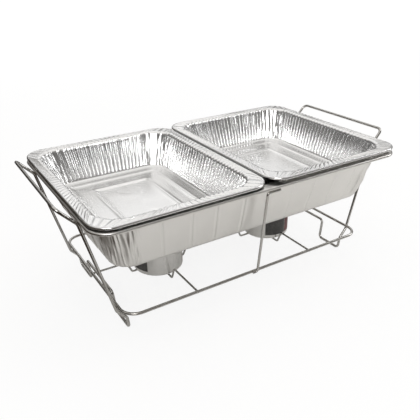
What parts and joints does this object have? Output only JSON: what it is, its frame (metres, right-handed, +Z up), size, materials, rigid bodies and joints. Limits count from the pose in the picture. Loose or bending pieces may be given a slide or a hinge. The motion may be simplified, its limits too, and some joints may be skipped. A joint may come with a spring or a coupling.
{
  "type": "wire chafing rack set",
  "caption": "Wire buffet rack with carrying handles that holds a full-size foil water pan, foil food pans side by side on its rim, and canned-heat fuel cans in dropped wire cradles.",
  "frame": {"origin": "on the table, at the centre of the rack's outline", "axes": "+X towards the right-hand handle, +Y to the rear, +Z up; the front is -Y"},
  "size_m": [0.5784, 0.325, 0.2156],
  "materials": {
    "rack_wire": "bright plated wire",
    "pan_foil": "satin",
    "can_steel": "satin",
    "can_label": "satin",
    "fuel_gel": "satin"
  },
  "bodies": {
    "rack": {"left_end_frame": "rack_wire", "right_end_frame": "rack_wire", "base_loop": "rack_wire", "spine_wire": "rack_wire", "left_cradle_wire": "rack_wire", "right_cradle_wire": "rack_wire", "front_strut": "rack_wire", "rear_strut": "rack_wire"},
    "water_pan_body": {"water_pan": "pan_foil"},
    "left_food_pan_body": {"left_food_pan": "pan_foil"},
    "right_food_pan_body": {"right_food_pan": "pan_foil"},
    "left_can": {"left_can_body": "can_steel", "left_fuel_gel": "fuel_gel", "left_can_top": "can_steel", "left_can_label": "can_label"},
    "left_lid": {"left_can_lid": "can_steel"},
    "right_can": {"right_can_body": "can_steel", "right_fuel_gel": "fuel_gel", "right_can_top": "can_steel", "right_can_label": "can_label"},
    "right_lid": {"right_can_lid": "can_steel"}
  },
  "joints": [
    {"name": "water_pan_lift", "type": "slide", "parent": "rack", "child": "water_pan_body", "axis": [0, 0, 1], "range_m": [0, 0.12]},
    {"name": "left_food_pan_lift", "type": "slide", "parent": "water_pan_body", "child": "left_food_pan_body", "axis": [0, 0, 1], "range_m": [0, 0.09]},
    {"name": "right_food_pan_lift", "type": "slide", "parent": "water_pan_body", "child": "right_food_pan_body", "axis": [0, 0, 1], "range_m": [0, 0.09]},
    {"name": "left_can_lift", "type": "slide", "parent": "rack", "child": "left_can", "axis": [0, 0, 1], "range_m": [0, 0.022]},
    {"name": "right_can_lift", "type": "slide", "parent": "rack", "child": "right_can", "axis": [0, 0, 1], "range_m": [0, 0.022]},
    {"name": "left_lid_lift", "type": "slide", "parent": "left_can", "child": "left_lid", "axis": [0, 0, 1], "range_m": [0, 0.018]},
    {"name": "right_lid_lift", "type": "slide", "parent": "right_can", "child": "right_lid", "axis": [0, 0, 1], "range_m": [0, 0.018]}
  ]
}
